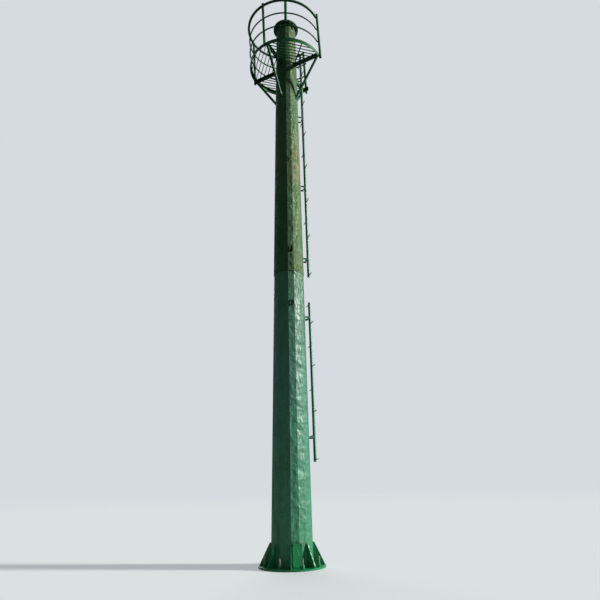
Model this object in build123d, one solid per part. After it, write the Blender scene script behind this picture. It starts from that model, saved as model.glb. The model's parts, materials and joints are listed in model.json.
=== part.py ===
from math import asin, cos, degrees, radians, sin, sqrt
import os

from build123d import *

os.makedirs("parts", exist_ok=True)

# A flat-sided steel monopole with a base flange, a slip joint, a pegged climbing rail,
# a ring platform with an open quadrant, a guard rail and a lightning rod on its head.
# Lengths are millimetres. Angles are degrees clockwise from the front, seen from below,
# so 0 is the front (-Y), 90 is the right (+X) and 180 is the rear.

# Shaft
shaft_sides = 16
shaft_corner_angle = -2.0
shaft_taper = 0.0235
shaft_base_diameter = 756.0
shaft_wall = 8.0
slip_joint_height = 5560.0
slip_overlap = 900.0
slip_clearance = 0.3
shaft_top_height = 12420.0

# Base flange, gussets and anchor holes
flange_diameter = 1200.0
flange_thickness = 30.0
gusset_count = 8
gusset_height = 370.0
gusset_reach = 575.0
gusset_thickness = 18.0
gusset_nose = 25.0
anchor_count = 8
anchor_pitch_diameter = 1020.0
anchor_hole_diameter = 39.0

# Hand hole: an opening near the ground, its raised frame and its cover
hand_gusset_gap = 3.0
hand_hole_width = 100.0
hand_hole_height = 260.0
hand_frame_width = 168.0
hand_frame_height = 372.0
hand_frame_bar = 12.0
hand_frame_proud = 24.0
hand_cover_thickness = 6.0
hand_foot_gap = 6.0

# Lugs that drew the slip joint together
lug_angle = 9.25
lug_width = 80.0
lug_height = 100.0
lug_reach = 60.0
lug_plate = 12.0
lug_hole_diameter = 28.0
lug_above_joint = 500.0
lug_below_joint = 700.0

# Head flange, its ribs and the bolt holes between them
head_diameter = 630.0
head_thickness = 25.0
head_rib_count = 8
head_rib_height = 150.0
head_rib_thickness = 10.0
head_rib_margin = 18.0
head_bolt_count = 8
head_bolt_inset = 35.0
head_bolt_hole = 26.0

# Lightning rod
rod_flange_thickness = 20.0
rod_rib_count = 8
rod_rib_height = 180.0
rod_rib_thickness = 8.0
rod_rib_margin = 85.0
rod_rib_nose = 20.0
rod_lower_diameter = 76.1
rod_lower_wall = 4.0
rod_lower_length = 2000.0
rod_upper_diameter = 48.3
rod_upper_wall = 3.6
rod_upper_length = 1500.0
rod_reducer_length = 80.0
rod_tip_diameter = 20.0
rod_tip_length = 560.0
rod_point_length = 70.0
rod_point_diameter = 3.0

# Platform
platform_below_head = 1185.0
platform_radius = 905.0
arm_angles = [60.0, -30.0, -120.0, -210.0]
arm_names = ["front_right", "front_left", "rear_left", "rear_right"]
arm_depth = 100.0
channel_flange = 48.0
channel_web = 6.0
channel_lip = 8.0
ring_leg = 8.0
ring_shelf = 50.0
ring_end_angles = [64.5, -220.0]

# Struts under the platform
strut_diameter = 60.3
strut_wall = 4.0
strut_post_gap = 2.0
strut_drop = 960.0
foot_plate_width = 90.0
foot_plate_height = 110.0
foot_plate_stand = 8.0

# Floor bars
floor_bar = 16.0
floor_bar_pitch = 85.0
floor_shaft_gap = 37.0
floor_arm_margin = 12.0
floor_ring_margin = 12.0
floor_joist_offset = 170.0
floor_joist_width = 20.0
floor_joist_depth = 25.0

# Guard rail, pushed a little to the left at its top
post_diameter = 60.3
post_wall = 4.0
post_angles = [63.0, -33.0, -120.0, -214.0]
post_below_ring = 20.0
end_post_above_rail = 80.0
inner_post_above_rail = 20.0
top_rail_diameter = 60.3
mid_rail_diameter = 33.7
guard_rail_wall = 3.2
guard_height = 1185.0
guard_lean = 48.0
mid_rail_names = ["lower_rail", "upper_rail"]
mid_rail_ends = [-214.0, -220.0]
weld_bite = 3.0

# Climbing rail, its pegs and its stand-off straps
rail_angle = 105.0
rail_diameter = 60.3
rail_wall = 3.6
rail_standoff = 130.0
lower_rail_bottom = 1770.0
rail_below_joint = 570.0
rail_above_joint = 20.0
rail_above_floor = 420.0
peg_diameter = 18.0
peg_length = 170.0
peg_pitch = 450.0
peg_end_margin = 25.0
strap_width = 180.0
strap_thickness = 6.0
strap_depth = 40.0
lower_strap_places = [0.14, 0.89]
upper_strap_places = [0.063, 0.36, 0.676, 0.856]


# Helpers for places and directions
flat_ratio = cos(radians(180.0 / shaft_sides))
slope = shaft_taper / 2
upper_base_diameter = shaft_base_diameter + 2 * (slip_clearance + shaft_wall) / flat_ratio
platform_height = shaft_top_height - platform_below_head
platform_underside = platform_height - arm_depth
strut_foot_height = platform_underside - strut_drop


def turned(shape, angle):
    """Turn a shape built along +X so that it points to an angle from the front."""
    return Rot(0, 0, angle - 90) * shape


def lower_radius(height):
    """Corner radius of the lower shaft's outside at a height."""
    return shaft_base_diameter / 2 - slope * height


def upper_radius(height):
    """Corner radius of the upper shaft's outside at a height."""
    return upper_base_diameter / 2 - slope * height


def flat_sided(bottom, top, corner_radius, inset=0.0):
    """Tapered prism with the shaft's flat sides, set in by a wall or clearance."""
    step = inset / flat_ratio
    sections = []
    for height in (bottom, top):
        outline = RegularPolygon(corner_radius(height) - step, shaft_sides)
        level = Plane.XY.offset(height) * Rot(0, 0, shaft_corner_angle - 90) * outline
        sections.append(level)
    return loft(sections, ruled=True)


def hollow_shaft(bottom, top, corner_radius):
    """One shaft section: the prism less the same prism set in by the wall."""
    outside = flat_sided(bottom, top, corner_radius)
    return outside - flat_sided(bottom, top, corner_radius, shaft_wall)


def round_bar(start, end, diameter):
    """Straight round bar between two points."""
    axis = Vector(*end) - Vector(*start)
    return extrude(Plane(origin=start, z_dir=axis) * Circle(diameter / 2), amount=axis.length)


def tube(start, end, diameter, wall):
    """Straight round tube between two points, open at both ends."""
    return round_bar(start, end, diameter) - round_bar(start, end, diameter - 2 * wall)


def arc_of(section, first_angle, last_angle):
    """Turn a section drawn in radius and height round the shaft, between two angles."""
    swept = revolve(Plane.XZ * section, axis=Axis.Z, revolution_arc=last_angle - first_angle)
    return turned(swept, first_angle)


def solids_of(shapes):
    """One node's shape from pieces that don't touch."""
    return Compound(children=[solid for shape in shapes for solid in shape.solids()])


nodes = {}

# Shaft sections: the upper one slips over the lower one
shaft_foot = flange_thickness
lower_shaft_top = slip_joint_height + slip_overlap
lower_body = flat_sided(shaft_foot, lower_shaft_top, lower_radius)
upper_body = flat_sided(slip_joint_height, shaft_top_height, upper_radius)
lower_shaft = hollow_shaft(shaft_foot, lower_shaft_top, lower_radius)
upper_shaft = hollow_shaft(slip_joint_height, shaft_top_height, upper_radius)

# Hand hole near the ground
hand_middle = flange_thickness + hand_foot_gap + hand_frame_height / 2
hand_side = (hand_frame_width + gusset_thickness) / 2 + hand_gusset_gap
hand_seat = lower_radius(flange_thickness + gusset_height) * flat_ratio
hand_hole_angle = shaft_corner_angle + degrees(asin(hand_side / hand_seat))
hand_face = lower_radius(hand_middle) + hand_frame_proud
opening = Pos(hand_face, 0, hand_middle) * Box(hand_face, hand_hole_width, hand_hole_height)
lower_shaft -= turned(opening, hand_hole_angle)
nodes["lower_shaft"] = lower_shaft
nodes["upper_shaft"] = upper_shaft

hand_frame = Box(hand_face, hand_frame_width, hand_frame_height)
hand_frame -= Box(
    hand_face,
    hand_frame_width - 2 * hand_frame_bar,
    hand_frame_height - 2 * hand_frame_bar,
)
hand_frame = turned(Pos(hand_face / 2, 0, hand_middle) * hand_frame, hand_hole_angle)
nodes["hand_hole_frame"] = hand_frame - lower_body
hand_cover = Box(hand_cover_thickness, hand_frame_width, hand_frame_height)
hand_cover = Pos(hand_face + hand_cover_thickness / 2, 0, hand_middle) * hand_cover
nodes["hand_hole_cover"] = turned(hand_cover, hand_hole_angle)

# Base flange with its anchor holes
base_flange = extrude(Circle(flange_diameter / 2), amount=flange_thickness)
anchor_angle = shaft_corner_angle + 180.0 / gusset_count
for index in range(anchor_count):
    hole = Pos(anchor_pitch_diameter / 2, 0, flange_thickness / 2)
    hole *= Cylinder(anchor_hole_diameter / 2, 2 * flange_thickness)
    base_flange -= turned(hole, anchor_angle + index * 360.0 / anchor_count)
nodes["base_flange"] = base_flange

# Gussets between the base flange and the shaft
gusset_outline = Polyline(
    (0, 0),
    (gusset_reach, 0),
    (gusset_reach, gusset_nose),
    (lower_radius(gusset_height) + gusset_nose, gusset_height),
    (0, gusset_height),
    close=True,
)
gusset = extrude(
    Plane.XZ.offset(-gusset_thickness / 2) * make_face(gusset_outline),
    amount=gusset_thickness,
)
gusset = Pos(0, 0, flange_thickness) * gusset
gussets = []
for index in range(gusset_count):
    angle = shaft_corner_angle + index * 360.0 / gusset_count
    gussets.append(turned(gusset, angle) - lower_body)
nodes["base_gussets"] = solids_of(gussets)


# Jacking lugs on each side of the slip joint, front and rear
def jacking_lug(height, corner_radius, body):
    """Two cheeks under a drilled plate, welded to one flat of the shaft."""
    reach = corner_radius(height) * flat_ratio + lug_reach
    cheek = Box(reach, lug_plate, lug_height)
    shift = (lug_width - lug_plate) / 2
    lug = Pos(0, shift, 0) * cheek + Pos(0, -shift, 0) * cheek
    lug += Pos(0, 0, (lug_height - lug_plate) / 2) * Box(reach, lug_width, lug_plate)
    lug = Pos(reach / 2, 0, height) * lug
    lug -= Pos(reach - lug_reach / 2, 0, height) * Cylinder(lug_hole_diameter / 2, 2 * lug_height)
    return [turned(lug, lug_angle + turn) - body for turn in (0, 180)]


lug_upper_height = slip_joint_height + lug_above_joint
lug_lower_height = slip_joint_height - lug_below_joint
nodes["upper_jacking_lugs"] = solids_of(jacking_lug(lug_upper_height, upper_radius, upper_body))
nodes["lower_jacking_lugs"] = solids_of(jacking_lug(lug_lower_height, lower_radius, lower_body))

# Head flange and the ribs under it
head_top = shaft_top_height + head_thickness
head_bolt_angle = shaft_corner_angle + 180.0 / head_rib_count


def head_disc(bottom, thickness):
    """Round flange with the bolt holes that the head and the rod's foot share."""
    disc = extrude(Circle(head_diameter / 2), amount=thickness)
    for index in range(head_bolt_count):
        hole = Pos(head_diameter / 2 - head_bolt_inset, 0, thickness / 2)
        hole *= Cylinder(head_bolt_hole / 2, 2 * thickness)
        disc -= turned(hole, head_bolt_angle + index * 360.0 / head_bolt_count)
    return Pos(0, 0, bottom) * disc


nodes["head_flange"] = head_disc(shaft_top_height, head_thickness)
head_reach = head_diameter / 2 - head_rib_margin
rib_outline = Polyline(
    (0, 0),
    (head_reach, 0),
    (head_reach, -head_rib_margin),
    (upper_radius(shaft_top_height) + head_rib_margin, -head_rib_height),
    (0, -head_rib_height),
    close=True,
)
head_rib = extrude(
    Plane.XZ.offset(-head_rib_thickness / 2) * make_face(rib_outline),
    amount=head_rib_thickness,
)
head_rib = Pos(0, 0, shaft_top_height) * head_rib
head_ribs = []
for index in range(head_rib_count):
    angle = shaft_corner_angle + index * 360.0 / head_rib_count
    head_ribs.append(turned(head_rib, angle) - upper_body)
nodes["head_flange_ribs"] = solids_of(head_ribs)

# Lightning rod: a flanged foot, two tubes joined by reducers, and a pointed tip
rod_foot = head_top + rod_flange_thickness
nodes["rod_base_flange"] = head_disc(head_top, rod_flange_thickness)
rod_reach = head_diameter / 2 - rod_rib_margin
rod_rib_outline = Polyline(
    (rod_lower_diameter / 2 - weld_bite, 0),
    (rod_reach, 0),
    (rod_reach, rod_rib_nose),
    (rod_lower_diameter / 2 + rod_rib_nose, rod_rib_height),
    (rod_lower_diameter / 2 - weld_bite, rod_rib_height),
    close=True,
)
rod_rib = extrude(
    Plane.XZ.offset(-rod_rib_thickness / 2) * make_face(rod_rib_outline),
    amount=rod_rib_thickness,
)
rod_rib = Pos(0, 0, rod_foot) * rod_rib
rod_core = Pos(0, 0, rod_foot + rod_rib_height / 2)
rod_core *= Cylinder(rod_lower_diameter / 2, 2 * rod_rib_height)
rod_ribs = []
for index in range(rod_rib_count):
    angle = shaft_corner_angle + index * 360.0 / rod_rib_count
    rod_ribs.append(turned(rod_rib, angle) - rod_core)
nodes["rod_base_ribs"] = solids_of(rod_ribs)

rod_lower_top = rod_foot + rod_lower_length
rod_upper_foot = rod_lower_top + rod_reducer_length
rod_upper_top = rod_upper_foot + rod_upper_length
rod_tip_foot = rod_upper_top + rod_reducer_length
nodes["rod_lower_tube"] = tube(
    (0, 0, rod_foot), (0, 0, rod_lower_top), rod_lower_diameter, rod_lower_wall
)
nodes["rod_upper_tube"] = tube(
    (0, 0, rod_upper_foot), (0, 0, rod_upper_top), rod_upper_diameter, rod_upper_wall
)


def reducer(foot, lower, upper, wall):
    """Hollow cone frustum between two tube diameters."""
    outside = Cone(lower / 2, upper / 2, rod_reducer_length)
    inside = Cone(lower / 2 - wall, upper / 2 - wall, rod_reducer_length)
    return Pos(0, 0, foot + rod_reducer_length / 2) * (outside - inside)


nodes["rod_reducers"] = solids_of(
    [
        reducer(rod_lower_top, rod_lower_diameter, rod_upper_diameter, rod_lower_wall),
        reducer(rod_upper_top, rod_upper_diameter, rod_tip_diameter, rod_upper_wall),
    ]
)
rod_tip_outline = Polyline(
    (0, 0),
    (rod_tip_diameter / 2, 0),
    (rod_tip_diameter / 2, rod_tip_length - rod_point_length),
    (rod_point_diameter / 2, rod_tip_length),
    (0, rod_tip_length),
    close=True,
)
rod_tip = revolve(Plane.XZ * make_face(rod_tip_outline), axis=Axis.Z)
nodes["rod_tip"] = Pos(0, 0, rod_tip_foot) * rod_tip

# Platform ring: a rolled angle, its shelf level with the tops of the arms
ring_outline = Polyline(
    (platform_radius - ring_leg, platform_underside),
    (platform_radius, platform_underside),
    (platform_radius, platform_height),
    (platform_radius - ring_shelf, platform_height),
    (platform_radius - ring_shelf, platform_height - ring_leg),
    (platform_radius - ring_leg, platform_height - ring_leg),
    close=True,
)
ring_section = make_face(ring_outline)
platform_ring = arc_of(ring_section, ring_end_angles[1], ring_end_angles[0])
nodes["platform_ring"] = platform_ring

# Arms: one channel each, open on its right side, coped to the shaft and to the ring
channel_outline = Polyline(
    (0, 0),
    (channel_flange, 0),
    (channel_flange, channel_lip),
    (channel_web, channel_lip),
    (channel_web, arm_depth - channel_lip),
    (channel_flange, arm_depth - channel_lip),
    (channel_flange, arm_depth),
    (0, arm_depth),
    close=True,
)
channel_place = Pos(-channel_flange / 2, platform_underside)
channel_section = Plane.YZ * channel_place * make_face(channel_outline)
arm_blank = extrude(channel_section, amount=platform_radius)
rim_bore = Pos(0, 0, platform_height - arm_depth / 2)
rim_bore *= Cylinder(platform_radius - ring_leg, 2 * arm_depth)
ring_whole = revolve(Plane.XZ * ring_section, axis=Axis.Z)
arm_blank = (arm_blank & rim_bore) - ring_whole
for angle, name in zip(arm_angles, arm_names):
    nodes["platform_arm_" + name] = turned(arm_blank, angle) - upper_body

# Struts from the arms' outer ends down to foot plates on the shaft
foot_radius = upper_radius(strut_foot_height)
foot_face = foot_radius + foot_plate_stand
strut_rise = platform_underside - strut_foot_height
longest_run = platform_radius - foot_face
strut_head = strut_diameter / 2 * sqrt(1 + (longest_run / strut_rise) ** 2)
strut_top_radius = platform_radius - weld_bite - strut_post_gap - strut_head
strut_run = strut_top_radius - foot_face
strut_span = (strut_diameter / 2) * sqrt(strut_rise ** 2 + strut_run ** 2) / strut_run
strut_axis_out = strut_run * strut_diameter / strut_rise
strut_blank = tube(
    (foot_face - strut_run, 0, strut_foot_height - strut_rise),
    (strut_top_radius + strut_axis_out, 0, platform_underside + strut_diameter),
    strut_diameter,
    strut_wall,
)
strut_room = Box(
    platform_radius,
    2 * strut_diameter,
    strut_rise + strut_span,
    align=(Align.MIN, Align.CENTER, Align.MAX),
)
strut_blank = strut_blank & (Pos(foot_face, 0, platform_underside) * strut_room)
foot_blank = Pos(foot_face / 2, 0, strut_foot_height) * Box(
    foot_face, foot_plate_width, foot_plate_height
)
feet = []
for angle, name in zip(arm_angles, arm_names):
    nodes["platform_strut_" + name] = turned(strut_blank, angle)
    feet.append(turned(foot_blank, angle) - upper_body)
nodes["strut_foot_plates"] = solids_of(feet)


# Floor: square bars across each closed quadrant, resting on the arms and the ring's shelf
def floor_bars(middle_angle):
    """Parallel bars at right angles to the middle of a quadrant, each cut to its length."""
    bars = []
    rim = platform_radius - floor_ring_margin
    first_bar = upper_radius(platform_height) + floor_shaft_gap + floor_bar / 2
    bar_count = int((platform_radius - ring_shelf - first_bar) / floor_bar_pitch) + 1
    for index in range(bar_count):
        distance = first_bar + index * floor_bar_pitch
        to_arm = distance - floor_arm_margin
        to_rim = sqrt(rim ** 2 - (distance + floor_bar / 2) ** 2)
        bar = Box(floor_bar, 2 * min(to_arm, to_rim), floor_bar)
        bars.append(turned(Pos(distance, 0, platform_height + floor_bar / 2) * bar, middle_angle))
    return bars


# One joist under the front bars, from the ring to the front right arm
joist_blank = Box(2 * platform_radius, floor_joist_width, floor_joist_depth)
joist_blank = Pos(0, floor_joist_offset, platform_height - floor_joist_depth / 2) * joist_blank
floor_joist = turned(joist_blank, (arm_angles[0] + arm_angles[1]) / 2)
floor_joist = (floor_joist & rim_bore) - ring_whole
behind_arm = Box(
    3 * platform_radius,
    2 * platform_radius,
    3 * arm_depth,
    align=(Align.CENTER, Align.MIN, Align.CENTER),
)
behind_arm = Pos(0, -channel_flange / 2, platform_height) * behind_arm
floor_joist -= turned(behind_arm, arm_angles[0])

for first, second, name in zip(arm_angles, arm_angles[1:], ("front", "left", "rear")):
    panel = floor_bars((first + second) / 2)
    if name == "front":
        panel.append(floor_joist)
    nodes["floor_panel_" + name] = solids_of(panel)

# Guard rail: posts beside the arm ends, one top rail and the thinner rails below it
rail_height = platform_height + guard_height
post_radius = platform_radius + post_diameter / 2 - weld_bite
top_rail_radius = post_radius - top_rail_diameter / 2
mid_rail_radius = post_radius - (post_diameter + mid_rail_diameter) / 2 + weld_bite
lean_pivot = platform_height - arm_depth / 2


def lean_at(height):
    """How far the guard rail stands to the right of its true place at a height."""
    return -guard_lean * (height - lean_pivot) / (rail_height - lean_pivot)


def guard_rail(section, radius, height, last_angle):
    """A section bent round the platform from the first post to an angle."""
    bent = arc_of(Pos(radius, height) * section, last_angle, post_angles[0])
    return Pos(lean_at(height), 0, 0) * bent


rail_rows = [("top_rail", top_rail_radius, rail_height, top_rail_diameter, post_angles[-1])]
for index, name in enumerate(mid_rail_names):
    height = platform_height + guard_height * (index + 1) / (len(mid_rail_names) + 1)
    rail_rows.append((name, mid_rail_radius, height, mid_rail_diameter, mid_rail_ends[index]))
rail_cores = []
for name, radius, height, diameter, last_angle in rail_rows:
    outside = Circle(diameter / 2)
    wall = outside - Circle(diameter / 2 - guard_rail_wall)
    nodes["guard_" + name] = guard_rail(wall, radius, height, last_angle)
    rail_cores.append(guard_rail(outside, radius, height, last_angle))
post_foot = platform_underside - post_below_ring
for angle, name in zip(post_angles, arm_names):
    rise = end_post_above_rail if angle in (post_angles[0], post_angles[-1]) else inner_post_above_rail
    post_head = rail_height + rise
    across = post_radius * sin(radians(angle))
    along = -post_radius * cos(radians(angle))
    post = tube(
        (across + lean_at(post_foot), along, post_foot),
        (across + lean_at(post_head), along, post_head),
        post_diameter,
        post_wall,
    )
    post -= platform_ring
    for rail in rail_cores:
        post -= rail
    nodes["guard_post_" + name] = post


# Climbing rail: two lengths that follow the taper, with pegs by turns on either side
def rail_centre(height, corner_radius):
    """Distance of the rail's middle line from the shaft's axis at a height."""
    return corner_radius(height) * flat_ratio + rail_standoff


def rail_pegs(first_height, last_height, corner_radius, blank):
    """Round pegs at a fixed pitch, on alternate sides of the rail."""
    pegs = []
    count = int((last_height - first_height) / peg_pitch) + 1
    for index in range(count):
        height = first_height + index * peg_pitch
        side = -1 if index % 2 == 0 else 1
        reach = rail_diameter / 2 + peg_length
        peg = Cylinder(peg_diameter / 2, reach, align=(Align.CENTER, Align.CENTER, Align.MIN))
        peg = Pos(rail_centre(height, corner_radius), 0, height) * Rot(-90 * side, 0, 0) * peg
        pegs.append(turned(peg - blank, rail_angle))
    return solids_of(pegs)


def rail_straps(bottom, top, places, corner_radius, blank, body):
    """U-shaped flat straps that hold the rail off the shaft, at shares of its length."""
    straps = []
    for place in places:
        height = bottom + place * (top - bottom)
        back = rail_centre(height, corner_radius) - rail_diameter / 2 + strap_thickness / 2
        strap = Box(back, strap_width, strap_depth)
        hollow = Box(back, strap_width - 2 * strap_thickness, 2 * strap_depth)
        strap -= Pos(-1.5 * strap_thickness, 0, 0) * hollow
        strap = Pos(back / 2, 0, height) * strap - blank
        straps.append(turned(strap, rail_angle) - body)
    return solids_of(straps)


lower_rail_top = slip_joint_height - rail_below_joint
upper_rail_bottom = slip_joint_height + rail_above_joint
upper_rail_top = platform_height + rail_above_floor
rail_runs = (
    ("lower", lower_rail_bottom, lower_rail_top, lower_radius, lower_body, lower_strap_places),
    ("upper", upper_rail_bottom, upper_rail_top, upper_radius, upper_body, upper_strap_places),
)
for name, bottom, top, corner_radius, body, strap_places in rail_runs:
    run = top - bottom - 2 * peg_end_margin
    spare = run % peg_pitch
    first_peg = bottom + peg_end_margin + (spare if name == "lower" else 0)
    rail_foot = (rail_centre(bottom, corner_radius), 0, bottom)
    rail_head = (rail_centre(top, corner_radius), 0, top)
    solid_rail = round_bar(rail_foot, rail_head, rail_diameter)
    rail_shape = tube(rail_foot, rail_head, rail_diameter, rail_wall)
    nodes["climbing_rail_" + name] = turned(rail_shape, rail_angle)
    pegs = rail_pegs(first_peg, top - peg_end_margin, corner_radius, solid_rail)
    nodes["climbing_pegs_" + name] = pegs
    straps = rail_straps(bottom, top, strap_places, corner_radius, solid_rail, body)
    nodes["rail_straps_" + name] = straps

for name, shape in nodes.items():
    export_step(shape, "parts/" + name + ".step")
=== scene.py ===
# %% [markdown]
# # Dressing a lightning protection tower
# The tower is a flat-sided steel pole with a platform and a rod on its head. Its shape is
# already made and comes in as a fixed frame. What is left is everything that a painter and a
# welder leave behind: coats of green paint that faded at different speeds, weld beads, nuts and
# bolts. The frame comes first, because every new piece is placed from its sizes.

# %% Load the frame
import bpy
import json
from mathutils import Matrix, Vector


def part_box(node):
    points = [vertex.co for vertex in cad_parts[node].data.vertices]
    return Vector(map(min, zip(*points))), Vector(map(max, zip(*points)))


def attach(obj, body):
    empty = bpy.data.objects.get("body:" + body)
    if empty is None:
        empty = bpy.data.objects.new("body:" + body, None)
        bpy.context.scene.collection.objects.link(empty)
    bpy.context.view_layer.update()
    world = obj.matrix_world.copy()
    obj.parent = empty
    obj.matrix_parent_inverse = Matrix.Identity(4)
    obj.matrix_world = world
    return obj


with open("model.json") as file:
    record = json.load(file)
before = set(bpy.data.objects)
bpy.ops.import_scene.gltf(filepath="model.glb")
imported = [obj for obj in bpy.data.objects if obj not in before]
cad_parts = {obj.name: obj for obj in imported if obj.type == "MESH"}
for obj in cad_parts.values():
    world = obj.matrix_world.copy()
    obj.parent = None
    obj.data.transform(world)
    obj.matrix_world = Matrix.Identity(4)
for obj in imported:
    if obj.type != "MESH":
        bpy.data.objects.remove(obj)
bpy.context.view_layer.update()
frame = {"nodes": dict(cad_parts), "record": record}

# %% Tools
import json
import math

import bpy
import numpy as np
from mathutils import Matrix


def levels(node):
    """The lowest and the highest level of a node of the frame, to the millimetre."""
    return [round(corner.z, 3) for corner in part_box(node)]


JOINT, HEAD = levels("upper_shaft")
print("the slip joint is at", JOINT, "m and the head at", HEAD, "m")

# %% [markdown]
# ## The camera
# A tower is looked up at. The camera stands ten metres in front, at eye height, tilted up so far
# that the foot and the platform both just fit. A lens that looks up makes the pole taper more
# than it really does, so the tilt has to be right before any colour is judged. The camera's
# matrix is built from its three axes, which is easier to read than three Euler angles.

# %% Camera
EYE = (0.0, -10.134, 1.359)
TILT = math.radians(19.83)
PAN = math.radians(1.30)
ROLL = math.radians(-1.14)
FOCAL_IN_PIXELS = 513.0
PICTURE_WIDTH = 600.0
SENSOR = 36.0


def camera_axes(tilt, pan, roll):
    """Right, up and backward axes of a camera that looks along +Y, panned, tilted, then rolled."""
    forward = np.array([math.sin(pan) * math.cos(tilt), math.cos(pan) * math.cos(tilt), math.sin(tilt)])
    level = np.array([math.cos(pan), -math.sin(pan), 0.0])
    upright = np.cross(level, forward)
    right = level * math.cos(roll) + upright * math.sin(roll)
    up = upright * math.cos(roll) - level * math.sin(roll)
    return right, up, -forward


camera_data = bpy.data.cameras.new("eye_height_camera")
camera_data.sensor_width = SENSOR
camera_data.lens = SENSOR * FOCAL_IN_PIXELS / PICTURE_WIDTH
camera_data.clip_end = 500.0
camera = bpy.data.objects.new("eye_height_camera", camera_data)
bpy.context.scene.collection.objects.link(camera)
pose = np.eye(4)
pose[:3, :3] = np.array(camera_axes(TILT, PAN, ROLL)).T
pose[:3, 3] = EYE
camera.matrix_world = Matrix(pose)
bpy.context.scene.camera = camera
print("camera lens", round(camera_data.lens, 1), "mm")

# %% [markdown]
# ## Node helpers
# A material is a small graph. Written out node by node it fills a page, so a few helpers carry
# the load: one adds a node and fills its sockets, some do a sum, and one lays a colour over
# another by masks. A socket given as a value is set, and one given as another socket is linked.

# %% Nodes and sums
def colour(red, green, blue):
    """A screen colour, 0 to 255, as the linear colour that a shader wants."""
    screen = np.array([red, green, blue]) / 255.0
    linear = np.where(screen <= 0.04045, screen / 12.92, ((screen + 0.055) / 1.055) ** 2.4)
    return (*linear.tolist(), 1.0)


def fill(tree, socket, value):
    """Link a socket to another socket, or set it to a value."""
    if isinstance(value, bpy.types.NodeSocket):
        tree.links.new(value, socket)
    else:
        socket.default_value = value


def add(tree, kind, values=(), **settings):
    """Add a node, set its properties, and fill its inputs from pairs of socket and value."""
    node = tree.nodes.new(kind)
    for name, setting in settings.items():
        setattr(node, name, setting)
    for name, value in dict(values).items():
        fill(tree, node.inputs[name], value)
    return node


def sum_up(tree, operation, first, second):
    """One operation of arithmetic on two values."""
    return add(tree, "ShaderNodeMath", {0: first, 1: second}, operation=operation).outputs[0]


def product(tree, first, *others):
    """Several values multiplied with each other."""
    for other in others:
        first = sum_up(tree, "MULTIPLY", first, other)
    return first


def sum_up_vectors(tree, operation, first, second=(0.0, 0.0, 0.0)):
    """One operation on two places or directions. A dot product or a length comes out as a value."""
    outputs = add(tree, "ShaderNodeVectorMath", {0: first, 1: second}, operation=operation).outputs
    return outputs["Value"] if operation in ("DOT_PRODUCT", "LENGTH") else outputs["Vector"]


print("a mid green is", [round(part, 3) for part in colour(48, 135, 88)])

# %% Blends, ramps and noise
def blend_colour(tree, mask, first, second):
    """The first colour where the mask is 0 and the second where it is 1."""
    node = add(tree, "ShaderNodeMix", data_type="RGBA")
    for index, value in ((0, mask), (6, first), (7, second)):
        fill(tree, node.inputs[index], value)
    return node.outputs[2]


def lay_over(tree, base, tint, *masks):
    """A colour laid over the base where all the masks agree, each a socket or a plain share."""
    return blend_colour(tree, product(tree, *masks), base, tint)


def ramp(tree, value, low, high, from_value=0.0, to_value=1.0):
    """A value that runs smoothly between two levels as another goes from low to high."""
    sockets = {"Value": value, "From Min": low, "From Max": high, "To Min": from_value, "To Max": to_value}
    return add(tree, "ShaderNodeMapRange", sockets, interpolation_type="SMOOTHSTEP").outputs["Result"]


def noise(tree, where, scale, detail, roughness, distortion=0.0):
    """Cloudy noise that mostly stays between 0.3 and 0.7."""
    sockets = {"Vector": where, "Scale": scale, "Detail": detail, "Roughness": roughness,
               "Distortion": distortion}
    return add(tree, "ShaderNodeTexNoise", sockets).outputs["Fac"]


print("blends, ramps and noise are ready")

# %% [markdown]
# ## Effects that several paints share
# Paint on a pole weathers by a few rules that are the same all over: it fades in patches, rain
# draws it into runs, the brush leaves ridges, and the edges lose it first. One more group paints
# light: the side towards the key light goes paler, as painted sunlight. Each of these is a node
# group, built once. The patches and the runs are the same noise, only stretched differently, so
# one group serves both. The groups read Object coordinates, which are metres here, so a size in a
# group is a real size.

# %% Groups: a shell to fill
def new_group(name, inputs, outputs):
    """An empty node group with named float inputs, its default values and its outputs."""
    group = bpy.data.node_groups.new(name, "ShaderNodeTree")
    for label, default in inputs.items():
        kind = "NodeSocketVector" if label == "Vector" else "NodeSocketFloat"
        socket = group.interface.new_socket(label, in_out="INPUT", socket_type=kind)
        if kind == "NodeSocketFloat":
            socket.default_value = default
    for label in outputs:
        group.interface.new_socket(label, in_out="OUTPUT", socket_type="NodeSocketFloat")
    return group, group.nodes.new("NodeGroupInput").outputs, group.nodes.new("NodeGroupOutput").inputs


def use_group(tree, group, values):
    """Place a group in a material and fill its inputs."""
    node = tree.nodes.new("ShaderNodeGroup")
    node.node_tree = group
    for name, value in values.items():
        fill(tree, node.inputs[name], value)
    return node.outputs


# %% Group: stretched patches
patches, given, wanted = new_group(
    "patches",
    {"Vector": None, "Across": 20.0, "Along": 5.0, "Detail": 4.0, "Warp": 0.3, "Cut": 0.5, "Softness": 0.1},
    ["Mask"],
)
stretch = add(patches, "ShaderNodeCombineXYZ", {0: given["Across"], 1: given["Across"], 2: given["Along"]})
stretched = sum_up_vectors(patches, "MULTIPLY", given["Vector"], stretch.outputs[0])
clouds = noise(patches, stretched, 1.0, given["Detail"], 0.6, given["Warp"])
upper_cut = sum_up(patches, "ADD", given["Cut"], given["Softness"])
patches.links.new(ramp(patches, clouds, given["Cut"], upper_cut), wanted["Mask"])
print("group", patches.name, "has", len(patches.nodes), "nodes")

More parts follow.
